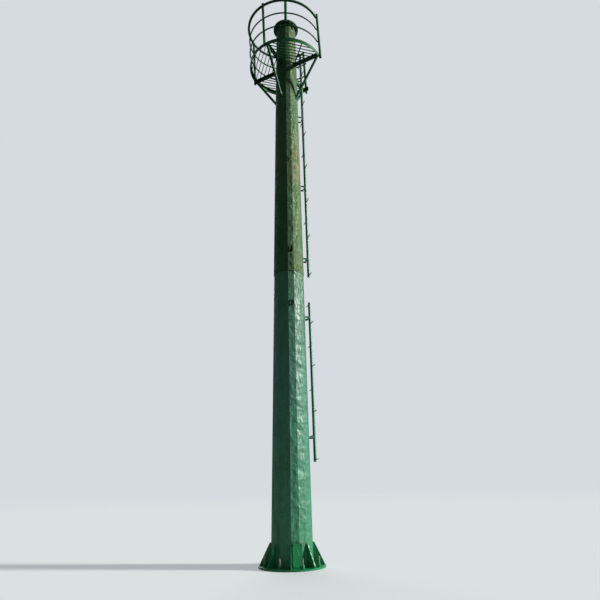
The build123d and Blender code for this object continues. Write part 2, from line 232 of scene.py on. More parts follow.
# %% Group: brush ridges and sags in a thick coat
thick_coat, given, wanted = new_group(
    "thick_coat",
    {"Vector": None, "Lumps": 16.0, "Ridges": 90.0, "Ridge share": 0.25, "Squash": 0.45},
    ["Height"],
)
lump_shape = add(thick_coat, "ShaderNodeCombineXYZ", {0: 1.0, 1: 1.0, 2: given["Squash"]})
lump_place = sum_up_vectors(thick_coat, "MULTIPLY", given["Vector"], lump_shape.outputs[0])
lumps = noise(thick_coat, lump_place, given["Lumps"], 1.5, 0.45, 0.35)
ridge_place = sum_up_vectors(thick_coat, "MULTIPLY", given["Vector"], (1.0, 1.0, 0.4))
ridges = noise(thick_coat, ridge_place, given["Ridges"], 2.0, 0.5)
ridge_height = product(thick_coat, ridges, given["Ridge share"])
thick_coat.links.new(sum_up(thick_coat, "ADD", lumps, ridge_height), wanted["Height"])
print("group", thick_coat.name, "has", len(thick_coat.nodes), "nodes")

# %% Group: edges that lose their paint first
worn_edges, given, wanted = new_group(
    "worn_edges", {"Vector": None, "Width": 0.004, "Patchiness": 30.0}, ["Mask"]
)
rounded = add(worn_edges, "ShaderNodeBevel", {"Radius": given["Width"]}, samples=4)
true_normal = worn_edges.nodes.new("ShaderNodeNewGeometry").outputs["Normal"]
agreement = sum_up_vectors(worn_edges, "DOT_PRODUCT", rounded.outputs[0], true_normal)
on_edge = ramp(worn_edges, agreement, 0.995, 0.90)
chips = noise(worn_edges, given["Vector"], given["Patchiness"], 5.0, 0.65)
chipped = product(worn_edges, on_edge, ramp(worn_edges, chips, 0.48, 0.60))
worn_edges.links.new(chipped, wanted["Mask"])
print("group", worn_edges.name, "has", len(worn_edges.nodes), "nodes")

# %% Group: painted sunlight on the side towards the key light
# A painted light mask: near 1 on the side that faces the key light, near 0 elsewhere.
SUN_SIDE = (0.84, -0.49, 0.24)
painted_sunlight, given, wanted = new_group("painted_sunlight", {"Vector": None, "From": 0.5, "To": 0.95}, ["Mask"])
towards_sun = sum_up_vectors(painted_sunlight, "DOT_PRODUCT", given["Vector"], SUN_SIDE)
painted_sunlight.links.new(ramp(painted_sunlight, towards_sun, given["From"], given["To"]), wanted["Mask"])
print("group", painted_sunlight.name, "has", len(painted_sunlight.nodes), "nodes")

# %% [markdown]
# ## Paint
# One function finishes each green paint with these effects. It lays them on in the order in
# which time did: over the sound and faded paint come darker runs of rain, then bare and rusty
# edges. The lumps of the thick coat go into the bump, because what makes this paint look
# hand-brushed is how it breaks up its own shine.

# %% Paint function
def start_material(name):
    """A new material with its Principled shader and its place in metres."""
    material = bpy.data.materials.new(name)
    material.use_nodes = True
    tree = material.node_tree
    shader = tree.nodes["Principled BSDF"]
    place = tree.nodes.new("ShaderNodeTexCoord").outputs["Object"]
    return material, tree, shader, place


def mottle(tree, place, across, along, cut, softness, warp=0.3, detail=4.0):
    """The mask of the patches group. Across and along say how many patches fit in a metre."""
    return use_group(tree, patches, {"Vector": place, "Across": across, "Along": along, "Detail": detail,
                                     "Warp": warp, "Cut": cut, "Softness": softness})["Mask"]


def finish_paint(tree, shader, place, base, chalk, coat):
    """Add runs, worn edges, bump and gloss to a coat whose colour and chalkiness are given."""
    runs = mottle(tree, place, coat["run_width"], 0.8, cut=0.54, softness=0.12, warp=0.2, detail=5.0)
    streaked = lay_over(tree, base, coat["run_colour"], runs, coat["run_strength"])
    edges = use_group(tree, worn_edges, {"Vector": place, "Width": coat["edge_width"]})["Mask"]
    edges = product(tree, edges, coat["edge_strength"])
    fill(tree, shader.inputs["Base Color"], lay_over(tree, streaked, coat["edge_colour"], edges))
    dull_edges = product(tree, edges, coat["edge_dulls"])
    dull = sum_up(tree, "ADD", product(tree, chalk, coat["chalk_dulls"]), dull_edges)
    fill(tree, shader.inputs["Roughness"], sum_up(tree, "ADD", dull, coat["gloss"]))
    height = use_group(tree, thick_coat, {"Vector": place, "Lumps": coat["lumps"], "Ridges": coat["ridges"],
                                          "Ridge share": coat["ridge_share"], "Squash": coat["squash"]})
    bump = {"Height": height["Height"], "Distance": coat["thickness"], "Strength": 1.0}
    fill(tree, shader.inputs["Normal"], add(tree, "ShaderNodeBump", bump).outputs["Normal"])
    shader.inputs["Specular IOR Level"].default_value = coat["shine"]
    shader.inputs["Specular Tint"].default_value = coat["glint"]


COAT = {
    "run_width": 45.0, "run_strength": 0.3, "run_colour": colour(20, 62, 44),
    "edge_width": 0.004, "edge_strength": 0.6, "edge_colour": colour(96, 84, 58),
    "chalk_dulls": 0.15, "edge_dulls": 0.3, "ridges": 55.0, "ridge_share": 0.3, "squash": 0.45,
    "shine": 0.8, "glint": (0.86, 1.0, 0.86, 1.0),
}
print("all coats share", len(COAT), "values")

# %% [markdown]
# ### The pole's paint
# The pole was green once from foot to head. Since then the lower section has bloomed to a pale
# blue-green, and the upper section has gone olive with a brown band halfway up. So the sound
# colour is a ramp over height, and everything else is laid over it by masks: clouds, the brown
# band, above the joint a painted shade on the side away from the key light and a painted
# highlight on the flat where the key light's sheen falls, dark pits, pale flecks, and the dark
# line that the foot's paint left over the hand hole.

# %% Pole colours
POLE_TOP = 12.45
POLE_COLOURS = [
    (0.0, colour(48, 138, 94)),
    (0.8, colour(60, 142, 104)),
    (1.6, colour(70, 143, 112)),
    (2.6, colour(69, 137, 110)),
    (3.6, colour(70, 129, 106)),
    (4.5, colour(68, 121, 94)),
    (JOINT - 0.02, colour(66, 114, 80)),
    (JOINT + 0.02, colour(62, 100, 44)),
    (6.6, colour(62, 106, 44)),
    (7.5, colour(62, 104, 36)),
    (8.2, colour(84, 98, 34)),
    (9.0, colour(58, 99, 32)),
    (9.8, colour(51, 101, 38)),
    (11.0, colour(42, 82, 32)),
    (POLE_TOP, colour(52, 78, 34)),
]


def sound_colour(tree, height):
    """The pole's sound paint: a colour ramp over its height."""
    by_height = add(tree, "ShaderNodeValToRGB", {"Fac": sum_up(tree, "DIVIDE", height, POLE_TOP)})
    stops = by_height.color_ramp.elements
    while len(stops) < len(POLE_COLOURS):
        stops.new(0.5)
    for stop, (level, tint) in zip(stops, POLE_COLOURS):
        stop.position = level / POLE_TOP
        stop.color = tint
    return by_height.outputs["Color"]


print("the pole's sound paint has", len(POLE_COLOURS), "colours")

# %% Pole paint
def side(degrees):
    """The level direction that lies some degrees round from the front, to the right."""
    return math.sin(math.radians(degrees)), -math.cos(math.radians(degrees)), 0.0


# The lip's side, and the flat where the key light's highlight falls on the upper section.
LIP_SIDE, HIGHLIGHT_SIDE = side(20.0), side(32.0)
LIP = levels("hand_hole_frame")[1]


def pole_paint():
    """Sound paint by height under clouds, a brown band, painted shade and a painted highlight, pits, flecks
    and a dark lip.
    """
    material, tree, shader, place = start_material("pole_paint")
    height = add(tree, "ShaderNodeSeparateXYZ", {0: place}).outputs["Z"]
    upper = ramp(tree, height, JOINT - 0.01, JOINT + 0.01)
    clouds = mottle(tree, place, 7.0, 2.2, cut=0.42, softness=0.22, warp=0.8)
    base = lay_over(tree, sound_colour(tree, height), colour(52, 96, 66), clouds, 0.4)
    brown = mottle(tree, place, 13.0, 6.0, cut=0.48, softness=0.16, warp=1.0)
    band = product(tree, ramp(tree, height, 7.3, 8.1), ramp(tree, height, 9.3, 8.6))
    base = lay_over(tree, base, colour(162, 114, 80), brown, band, 0.85)
    around = sum_up_vectors(tree, "MULTIPLY", place, (1.0, 1.0, 0.0))
    around = sum_up_vectors(tree, "NORMALIZE", around)
    # Painted highlight: above the joint the flat that faces 32 degrees, where the key light's sheen falls,
    # gets an olive tint, more dark pits and more pale flecks.
    facing_highlight = sum_up_vectors(tree, "DOT_PRODUCT", around, HIGHLIGHT_SIDE)
    highlight_flat = product(tree, ramp(tree, facing_highlight, 0.955, 0.988), upper)
    # Painted shade: above the joint the side away from the key light is painted darker, and the pale flecks
    # are dimmed there.
    sunny = use_group(tree, painted_sunlight, {"Vector": around, "From": 0.66, "To": 0.84})["Mask"]
    painted_shade = product(tree, sum_up(tree, "SUBTRACT", 1.0, sunny), upper)
    base = lay_over(tree, base, colour(28, 72, 28), painted_shade, 0.8)
    base = lay_over(tree, base, colour(86, 116, 28), highlight_flat, 0.6)
    pits = mottle(tree, place, 44.0, 32.0, cut=0.49, softness=0.12, detail=5.0)
    base = lay_over(tree, base, colour(36, 58, 22), pits, ramp(tree, highlight_flat, 0.0, 1.0, 0.15, 0.92))
    flecks = mottle(tree, place, 34.0, 22.0, cut=0.53, softness=0.12, warp=0.2, detail=5.0)
    flecks = product(tree, flecks, ramp(tree, highlight_flat, 0.0, 1.0, 0.28, 0.9))
    fleck_colour = blend_colour(tree, upper, colour(124, 184, 152), colour(162, 188, 126))
    base = lay_over(tree, base, fleck_colour, flecks, ramp(tree, painted_shade, 0.0, 1.0, 1.0, 0.35))
    lip = product(tree, ramp(tree, height, LIP - 0.006, LIP), ramp(tree, height, LIP + 0.024, LIP + 0.016))
    facing_lip = ramp(tree, sum_up_vectors(tree, "DOT_PRODUCT", around, LIP_SIDE), 0.925, 0.935)
    base = lay_over(tree, base, colour(4, 66, 40), lip, facing_lip, 0.75)
    coat = dict(COAT, gloss=ramp(tree, upper, 0.0, 1.0, 0.45, 0.66), squash=1.2, lumps=5.5, ridges=17.0,
                ridge_share=0.35, thickness=0.036)
    finish_paint(tree, shader, place, base, clouds, coat)
    return material


pole = pole_paint()
print("made", pole.name, "with", len(pole.node_tree.nodes), "nodes")

# %% [markdown]
# ### The other paints
# The foot, the platform and the climbing rail are plainer. Each is one green that varies a little
# from patch to patch, with painted sunlight, a paler tint, on the side towards the key light. The
# foot is the newest and glossiest. The platform is almost bottle green, and the rail is a bluer
# green that was sprayed on thin, so it shines in long lines. On the lower rail the painted
# sunlight is a pale painted highlight, and on the upper one it is weaker, so that share changes at
# the joint.

# %% Plain paints
def plain_paint(name, sound, faded, sunlit_tint, sunlit_share_above=1.0, **look):
    """A sound colour with faded patches and painted sunlight towards the key light, under the shared runs,
    edges and bump.
    """
    material, tree, shader, place = start_material(name)
    faded_mask = mottle(tree, place, 14.0, 7.0, cut=0.47, softness=0.22, warp=0.9)
    base = blend_colour(tree, faded_mask, sound, faded)
    # Painted sunlight: the side towards the key light takes the paler sunlit tint, at a share that can
    # change at the joint.
    normal = tree.nodes["Texture Coordinate"].outputs["Normal"]
    sunny = use_group(tree, painted_sunlight, {"Vector": normal})["Mask"]
    height = add(tree, "ShaderNodeSeparateXYZ", {0: place}).outputs["Z"]
    share = ramp(tree, height, JOINT - 0.4, JOINT, 1.0, sunlit_share_above)
    base = lay_over(tree, base, sunlit_tint, sunny, share)
    finish_paint(tree, shader, place, base, faded_mask, dict(COAT, **look))
    return material


# The third colour of each paint is its painted sunlight tint; the rail's is a pale painted highlight.
foot_paint = plain_paint("foot_paint", colour(0, 118, 66), colour(6, 130, 76), colour(30, 142, 92),
                         gloss=0.34, lumps=24.0, thickness=0.010, run_strength=0.25)
platform_paint = plain_paint("platform_paint", colour(6, 74, 34), colour(16, 98, 44), colour(26, 112, 50),
                             gloss=0.42, lumps=30.0, thickness=0.003, run_strength=0.4, shine=0.4)
rail_paint = plain_paint("rail_paint", colour(6, 82, 68), colour(14, 98, 80), colour(118, 176, 154),
                         sunlit_share_above=0.25, gloss=0.40, lumps=34.0, thickness=0.002, run_strength=0.3)
for paint in (foot_paint, platform_paint, rail_paint):
    print("made", paint.name)

# %% [markdown]
# ### Bare steel
# The tip of the rod and the anchor bolts are galvanised, and zinc goes dull in flat grey spangles.
# A little noise in colour, roughness and metallic is enough at this size.

# %% Bare steel
def bare_steel():
    """Grey metal with cloudy spangles and a few rust freckles."""
    material, tree, shader, place = start_material("bare_steel")
    spangle = mottle(tree, place, 120.0, 120.0, cut=0.4, softness=0.25)
    rust = mottle(tree, place, 60.0, 40.0, cut=0.60, softness=0.08)
    zinc = blend_colour(tree, spangle, colour(138, 142, 134), colour(186, 190, 180))
    fill(tree, shader.inputs["Base Color"], lay_over(tree, zinc, colour(128, 88, 58), rust, 0.6))
    fill(tree, shader.inputs["Roughness"], ramp(tree, spangle, 0.0, 1.0, 0.34, 0.5))
    fill(tree, shader.inputs["Metallic"], ramp(tree, rust, 0.0, 1.0, 0.4, 0.1))
    return material


zinc_steel = bare_steel()
print("made", zinc_steel.name)

# %% [markdown]
# ## Finishes on the frame
# Every piece of the frame names the slot that its finish comes from, so the paints go on by slot.

# %% Give each node its finish
FINISH = {"shaft_paint": pole, "base_paint": foot_paint, "platform_paint": platform_paint,
          "rail_paint": rail_paint, "bare_steel": zinc_steel}
for row in frame["record"]["subparts"]:
    node = frame["nodes"][row["node"]]
    node.data.materials.clear()
    node.data.materials.append(FINISH[row["material_slot"]])
print("painted", len(frame["nodes"]), "nodes")

# %% [markdown]
# ## Forms made of numbers
# A new piece is a set of points and faces, worked out with numpy and handed to Blender in one go.
# A form here is three arrays: the points, the corners of all faces in one long row, and how many
# corners each face has. In that shape a form can be repeated by a stack of matrices, or joined to
# others, without a loop over its points. Every form is closed, and its faces look outwards.

# %% Forms
def form(points, *faces):
    """Points and faces, with one array of faces for each number of corners."""
    corners = np.concatenate([np.ravel(part) for part in faces])
    sizes = np.concatenate([np.full(len(part), np.shape(part)[1]) for part in faces])
    return np.reshape(points, (-1, 3)), corners, sizes


def join(forms):
    """Several forms as one form."""
    points, corners, sizes = zip(*forms)
    starts = np.cumsum([0] + [len(part) for part in points])
    corners = [part + start for part, start in zip(corners, starts)]
    return np.concatenate(points), np.concatenate(corners), np.concatenate(sizes)


def stamp(shape, matrices):
    """One form repeated by a stack of 4 x 4 matrices."""
    points, corners, sizes = shape
    moved = np.einsum("mij,nj->mni", matrices[:, :3, :3], points) + matrices[:, None, :3, 3]
    starts = np.arange(len(matrices))[:, None] * len(points)
    return moved.reshape(-1, 3), (corners + starts).ravel(), np.tile(sizes, len(matrices))


def skin(rings, closed=False):
    """A skin through rings of points, shape (rings, sides, 3), capped at both ends or joined up."""
    count, sides = rings.shape[:2]
    spans = count if closed else count - 1
    row, column = np.meshgrid(np.arange(spans), np.arange(sides), indexing="ij")
    here, after = row * sides, (row + 1) % count * sides
    beside = (column + 1) % sides
    quads = np.stack([here + column, here + beside, after + beside, after + column], axis=-1)
    if closed:
        return form(rings, quads.reshape(-1, 4))
    caps = [np.arange(sides)[::-1], np.arange(sides) + (count - 1) * sides]
    return form(rings, quads.reshape(-1, 4), caps)


def lathe(radii, heights, sides=16):
    """A turned solid: radii, one for each height or one row of sides for each height."""
    angle = np.arange(sides) * 2 * np.pi / sides
    radii = np.broadcast_to(np.reshape(radii, (len(heights), -1)), (len(heights), sides))
    upwards = np.broadcast_to(np.reshape(heights, (-1, 1)), radii.shape)
    return skin(np.stack([radii * np.cos(angle), radii * np.sin(angle), upwards], axis=-1))


print("a plain disc has", len(lathe([1.0, 1.0], [0.0, 0.1])[0]), "points")

# %% Hand a form to Blender
PIECES = {}


def piece(name, shape, finish, crease=35.0):
    """Make a form a finished piece of the tower, smooth but for edges sharper than the crease."""
    points, corners, sizes = shape
    mesh = bpy.data.meshes.new(name)
    mesh.vertices.add(len(points))
    mesh.vertices.foreach_set("co", points.ravel())
    mesh.loops.add(len(corners))
    mesh.loops.foreach_set("vertex_index", corners.astype(np.int32))
    mesh.polygons.add(len(sizes))
    mesh.polygons.foreach_set("loop_start", (np.cumsum(sizes) - sizes).astype(np.int32))
    mesh.polygons.foreach_set("use_smooth", np.ones(len(sizes), dtype=bool))
    mesh.update(calc_edges=True)
    mesh.set_sharp_from_angle(angle=math.radians(crease))
    mesh.materials.append(finish)
    thing = bpy.data.objects.new(name, mesh)
    bpy.context.scene.collection.objects.link(thing)
    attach(thing, "root")
    PIECES[name] = int((sizes - 2).sum())
    print(name, "has", PIECES[name], "triangles")


# %% [markdown]
# ## Where things are on the tower
# Angles go round from the front: 0 faces the camera, 90 is the right side. The levels come from
# the frame. The shaft has sixteen flats, so its surface is nearer in the middle of a flat than
# at a corner. The function `shaft_radius` gives that distance in any direction, and `on_shaft`
# finds the point where a plate meets the shaft when it stands a little to one side of it.

# %% Places
STEP = 2 * math.pi / 16
CORNER = math.radians(-2.0)
SLOPE = 0.01175
# The corner radius that each section would have at the ground
LOWER_CORNER, UPPER_CORNER = 0.378, 0.386463
FOOT = levels("base_flange")[1]
ARM_FOOT, FLOOR = levels("platform_ring")
UP = np.array([0.0, 0.0, 1.0])


def out(angle):
    """Unit vectors that point away from the axis."""
    angle = np.asarray(angle, dtype=float)
    return np.stack([np.sin(angle), -np.cos(angle), np.zeros_like(angle)], axis=-1)


def aside(angle):
    """Unit vectors that go round the axis, to the side of larger angles."""
    angle = np.asarray(angle, dtype=float)
    return np.stack([np.cos(angle), np.sin(angle), np.zeros_like(angle)], axis=-1)


def facing(angle):
    """The direction that the flat at an angle looks in."""
    return CORNER + STEP * (np.floor((np.asarray(angle) - CORNER) / STEP) + 0.5)


print("the floor is at", FLOOR, "m")

# %% The shaft's surface
def shaft_radius(angle, height, upper):
    """Distance of the shaft's surface from the axis.

    radius = (corner radius at the ground - slope * height) * cos(step / 2)
             / cos(angle to the middle of the flat)
    """
    corner = (UPPER_CORNER if upper else LOWER_CORNER) - SLOPE * np.asarray(height)
    return corner * math.cos(STEP / 2) / np.cos(np.asarray(angle) - facing(angle))


def on_shaft(angle, offset, height, upper):
    """Points on the shaft beside a direction, and the directions that its flats look in there."""
    reach = shaft_radius(angle, height, upper)
    for _ in range(4):
        local = angle + np.arctan2(offset, reach)
        reach = shaft_radius(local, height, upper) * np.cos(local - angle)
    points = reach[..., None] * out(angle) + offset[..., None] * aside(angle) + height[..., None] * UP
    return points, out(facing(local))


def poses(origin, first, third):
    """Matrices that stand a form on each origin, its x along first and its z along third."""
    origin, first, third = np.broadcast_arrays(origin, first, third)
    matrices = np.tile(np.eye(4), (len(origin), 1, 1))
    matrices[:, :3, 0] = first
    matrices[:, :3, 1] = np.cross(third, first)
    matrices[:, :3, 2] = third
    matrices[:, :3, 3] = origin
    return matrices


print("the foot is", round(2 * float(shaft_radius(CORNER, 0.0, False)), 3), "m across its corners")

# %% [markdown]
# ## Nuts and bolts
# A nut is a hexagon whose corners are turned down at both ends. Twelve points round each level
# are enough: six on the corners and six in the middle of the flats. The thread of an anchor bolt
# is a lathe form too, but its radius also depends on the angle, which turns rings into a helix.

# %% Nut and thread
ROUND = np.arange(12) * 2 * np.pi / 12


def nut(across, height):
    """Hexagonal nut that stands on z = 0.

    radius(angle) = across / 2 / cos(angle to the middle of the flat), turned down to 0.52 across
    """
    hexagon = across / 2 / np.cos(ROUND % (np.pi / 3) - np.pi / 6)
    turned = np.minimum(hexagon, 0.52 * across)
    return lathe(np.stack([turned, hexagon, hexagon, turned]), height * np.array([0.0, 0.12, 0.88, 1.0]), 12)


def disc(radius, thickness):
    """Plain round plate that stands on z = 0."""
    return lathe([radius, radius], [0.0, thickness], 12)


def raised(shape, height):
    """The same form, moved up."""
    return shape[0] + height * UP, shape[1], shape[2]


def thread(diameter, pitch, foot, top):
    """Threaded bar, tapered over its last turn.

    radius(angle, z) = r - 0.3 pitch * (1 + cos(2 pi z / pitch - angle))
    """
    turns = np.arange(foot, top, pitch / 4)
    wave = 1 + np.cos(2 * np.pi * turns[:, None] / pitch - ROUND)
    fade = np.clip((top - turns[:, None]) / pitch, 0.0, 1.0)
    return lathe(diameter / 2 * (0.8 + 0.2 * fade) - 0.3 * pitch * wave, turns, 12)


print("an M36 nut has", len(nut(0.055, 0.029)[0]), "points")

# %% [markdown]
# The eight anchor bolts stand up through the base flange. None of them is quite upright, which is
# how cast-in bolts come out, so each has a small lean of its own. A washer, a nut and a thinner
# lock nut hold the flange down and carry the same paint as the foot.

# %% Anchor bolts
ANCHORS = np.radians(20.5 + 45.0 * np.arange(8))
ANCHOR_CIRCLE = 0.51
THREAD_FOOT, STUD_TOP = 0.052, 0.158
chance = np.random.default_rng(36)
lean = chance.uniform(-0.03, 0.03, (8, 2))
upright = np.column_stack([lean, np.ones(8)])
upright /= np.linalg.norm(upright, axis=1, keepdims=True)
across = out(ANCHORS) - upright * np.sum(out(ANCHORS) * upright, axis=1, keepdims=True)
across /= np.linalg.norm(across, axis=1, keepdims=True)
anchor_foot = ANCHOR_CIRCLE * out(ANCHORS) + FOOT * UP
bar_in_hole = lathe([0.017, 0.017], [0.001 - FOOT, THREAD_FOOT], 12)
stud = join([bar_in_hole, thread(0.036, 0.004, THREAD_FOOT, STUD_TOP)])
piece("anchor_studs", stamp(stud, poses(anchor_foot, across, upright)), zinc_steel)
washer = lathe([0.034, 0.036, 0.036, 0.034], [0.0, 0.001, 0.005, 0.006], 24)
nuts = join([washer, raised(nut(0.055, 0.029), 0.006), raised(nut(0.055, 0.018), 0.035)])
nut_poses = poses(anchor_foot, out(ANCHORS + 0.7 * np.arange(8)), UP)
piece("anchor_nuts", stamp(nuts, nut_poses), foot_paint)

# %% [markdown]
# The rod's foot stands on the head flange and is held by eight bolts that go through both. The
# heads are on top and the nuts below, where a spanner reaches them between the ribs. Four small
# bolts near its corners hold the cover of the hand hole.

# %% Head bolts and cover bolts
HEAD_CIRCLE = 0.28
ROD_FOOT = levels("rod_base_flange")[1]
head_ring = HEAD_CIRCLE * out(ANCHORS)
bolt_end = lathe([0.0115, 0.011], [0.004, 0.035], 12)
below = join([disc(0.022, 0.004), raised(nut(0.036, 0.019), 0.004), bolt_end])
above = join([disc(0.022, 0.004), raised(nut(0.036, 0.015), 0.004)])
piece("head_bolts", join([
    stamp(below, poses(head_ring + HEAD * UP, out(ANCHORS), -UP)),
    stamp(above, poses(head_ring + ROD_FOOT * UP, out(ANCHORS), UP)),
]), platform_paint)

COVER_LOW, COVER_TOP = levels("hand_hole_cover")
COVER_MIDDLE = (COVER_LOW + COVER_TOP) / 2
COVER_TURN = math.radians(13.2009)
COVER_PROUD = 0.030
COVER_FACE = LOWER_CORNER - SLOPE * COVER_MIDDLE + COVER_PROUD
cover_corner = np.array([0.068, 0.17]) * [[-1, -1], [1, -1], [-1, 1], [1, 1]]
cover_place = COVER_FACE * out(COVER_TURN) + cover_corner[:, :1] * aside(COVER_TURN)
cover_place = cover_place + (COVER_MIDDLE + cover_corner[:, 1:]) * UP
small_washer = lathe([0.011, 0.0115, 0.011], [0.0, 0.001, 0.002], 12)
small_bolt = join([small_washer, raised(nut(0.017, 0.007), 0.002)])
piece("cover_bolts", stamp(small_bolt, poses(cover_place, UP, out(COVER_TURN))), foot_paint)

# %% [markdown]
# ## Weld beads
# All of this steel is welded, and up close the beads are what makes it look made by hand. A bead
# fills the corner between two surfaces, so two outward normals along its path say all that there
# is to know: the bead spreads over each surface in the direction that leads away from the other.
# Its section is a low hump over that corner, and the hump swells and narrows with every drop of
# metal that went in.

# %% Paths
def unit(rows):
    """The same directions, one long."""
    return rows / np.linalg.norm(rows, axis=-1, keepdims=True)


def upright_line(foot, low, high):
    """Two points over each other, at a low and a high level."""
    return foot + np.array([[low], [high]]) * UP


def resample(rows, grain, closed):
    """Points and normals along a broken line, at an even spacing near the grain.

    rows is (corners, 9): a point and two normals at each corner.
    """
    if closed:
        rows = np.vstack([rows, rows[:1]])
    along = np.concatenate([[0.0], np.cumsum(np.linalg.norm(np.diff(rows[:, :3], axis=0), axis=1))])
    count = max(int(along[-1] / grain), 4)
    wanted = np.linspace(0.0, along[-1], count, endpoint=not closed)
    return np.stack([np.interp(wanted, along, column) for column in rows.T], axis=1), wanted


print("the way along (3, 4) is", unit(np.array([3.0, 4.0])))

# %% Beads
SECTION = np.array([[-0.3, -0.3], [1.0, -0.1], [0.86, 0.32], [0.62, 0.62], [0.32, 0.86], [-0.1, 1.0]])
SLOW_WAVE = 0.023


def bead(path, normal, other, leg=0.006, closed=False, grain=0.003):
    """Weld bead along a path in the corner of two surfaces whose outward normals are given.

    size(s, i) = leg * (1 + 0.07 sin(2 pi s / pitch + bow of point i) + 0.06 sin(s / slow wave))
    """
    normal, other = np.broadcast_arrays(normal, other, path)[:2]
    rows, along = resample(np.hstack([path, normal, other]), grain, closed)
    points, one, two = rows[:, :3], unit(rows[:, 3:6]), unit(rows[:, 6:])
    lean = np.sum(one * two, axis=1, keepdims=True)
    over_one, over_two = unit(two - lean * one), unit(one - lean * two)
    ahead = np.roll(points, -1, axis=0) - np.roll(points, 1, axis=0)
    if np.sum(np.cross(over_one, over_two)[1:-1] * ahead[1:-1]) < 0:
        over_one, over_two = over_two, over_one
    pitch = along[-1] / max(round(along[-1] / (4 * grain)), 1)
    bow = 2.2 * np.sin(np.pi * np.arange(len(SECTION)) / (len(SECTION) - 1))
    drops = np.sin(2 * np.pi * along[:, None] / pitch + bow)
    ripple = 1 + 0.07 * drops + 0.06 * np.sin(along[:, None] / SLOW_WAVE)
    if not closed:
        ends = np.minimum(along, along[-1] - along) / (1.2 * leg)
        ripple = ripple * np.sqrt(np.clip(ends, 0.02, 1.0))[:, None]
    hump = SECTION[:, :1] * over_one[:, None] + SECTION[:, 1:] * over_two[:, None]
    return skin(points[:, None] + (leg * ripple)[..., None] * hump, closed)


level_line = np.array([[0.0, 0.0, 0.0], [0.1, 0.0, 0.0]])
print("a bead of 0.1 m has", len(bead(level_line, UP, np.array([0.0, 1.0, 0.0]))[0]), "points")

# %% [markdown]
# ### Welds on the shaft
# A plate that stands on the shaft is welded round its outline. The outline is drawn in offset and
# height, with two points near each corner so that the bead turns there, and `on_shaft` lays it on
# the flats. An outline that stops at the foot or under the head flange stays open, and so does
# the root of a channel, which has no wall on its right side.

# %% Outlines on the shaft
def rectangle(half_width, low, high, turn=0.004):
    """Corners of a rectangle and the direction that each side looks in, with turned corners."""
    w, t = half_width, turn
    points = [[-w, low + t], [-w, high - t], [-w + t, high], [w - t, high], [w, high - t], [w, low + t],
              [w - t, low], [-w + t, low]]
    looks = [[-1, 0], [-1, 0], [0, 1], [0, 1], [1, 0], [1, 0], [0, -1], [0, -1]]
    return np.array(points, dtype=float), np.array(looks, dtype=float)


OPEN_BELOW = [0, 1, 2, 3, 4, 5]
OPEN_ABOVE = [4, 5, 6, 7, 0, 1]
OPEN_RIGHT = [3, 2, 1, 0, 7, 6]


def corners_of(outline, order):
    """Some corners of an outline, in an order that leaves one side open."""
    return outline[0][order], outline[1][order]


def plate_weld(angle, outline, upper, leg=0.005, closed=True, grain=0.003):
    """Bead round the outline of a plate that stands on the shaft in a direction."""
    points, looks = outline
    looks = looks[:, :1] * aside(angle) + looks[:, 1:] * UP
    spot, normal = on_shaft(angle, points[:, 0], points[:, 1], upper)
    return bead(spot, normal, looks, leg, closed, grain)


def line_welds(angle, line, half, level, face, leg, grain=0.003):
    """Beads on both sides of a plate that stands on a level face, between two distances."""
    beads = []
    for hand in (-1, 1):
        ends = line * out(angle) + hand * half * aside(angle) + level * UP
        beads.append(bead(ends, face, hand * aside(angle), leg, False, grain))
    return beads


print("an outline has", len(rectangle(0.05, 0.0, 0.1)[0]), "corners")

# %% Welds of the foot
GUSSETS = CORNER + np.arange(8) * math.pi / 4
GUSSET_HALF = 0.009
GUSSET_LINE = np.array([[0.385], [0.573]])
COVER_HALF = 0.084
COARSE = 0.004
corners = CORNER + STEP * np.arange(16)
foot_path = shaft_radius(corners, FOOT, False)[:, None] * out(corners) + FOOT * UP
foot_welds = [bead(foot_path, out(corners), UP, 0.007, True, COARSE)]
gusset_edge = corners_of(rectangle(GUSSET_HALF, *levels("base_gussets")), OPEN_BELOW)
for angle in GUSSETS:
    foot_welds.append(plate_weld(angle, gusset_edge, False, 0.006, False, COARSE))
    foot_welds += line_welds(angle, GUSSET_LINE, GUSSET_HALF, FOOT, UP, 0.006, COARSE)
foot_welds.append(plate_weld(COVER_TURN, rectangle(COVER_HALF, COVER_LOW, COVER_TOP), False))
piece("foot_welds", join(foot_welds), foot_paint, 60.0)

# %% Seams of the shaft
SEAM_ACROSS = np.array([-0.009, -0.006, 0.0, 0.006, 0.009])
SEAM_RISE = np.array([-0.001, 0.001, 0.0018, 0.001, -0.001])
SEAM_GRAIN = 0.008


def seam(angle, low, high, upper):
    """The long seam of a shaft section, a low flat bead in the middle of a flat.

    size(z) = 1 + 0.08 sin(2 pi z / 32 mm) + 0.1 sin(z / 190 mm)
    """
    heights = np.arange(low, high, SEAM_GRAIN)
    middle = shaft_radius(CORNER, heights, upper) * math.cos(STEP / 2)
    wave = 1 + 0.08 * np.sin(heights * 2 * np.pi / 0.032) + 0.1 * np.sin(heights / 0.19)
    across = SEAM_ACROSS * wave[:, None]
    rise = SEAM_RISE * wave[:, None] + middle[:, None]
    return skin(rise[..., None] * out(angle) + across[..., None] * aside(angle)
                + heights[:, None, None] * UP)


SEAMS = CORNER + STEP * np.array([-1.5, 6.5])
shaft_welds = [seam(angle, FOOT, JOINT, False) for angle in SEAMS]
shaft_welds += [seam(angle, JOINT, HEAD, True) for angle in SEAMS]
print(len(shaft_welds), "seams of", len(SEAM_ACROSS), "points across")

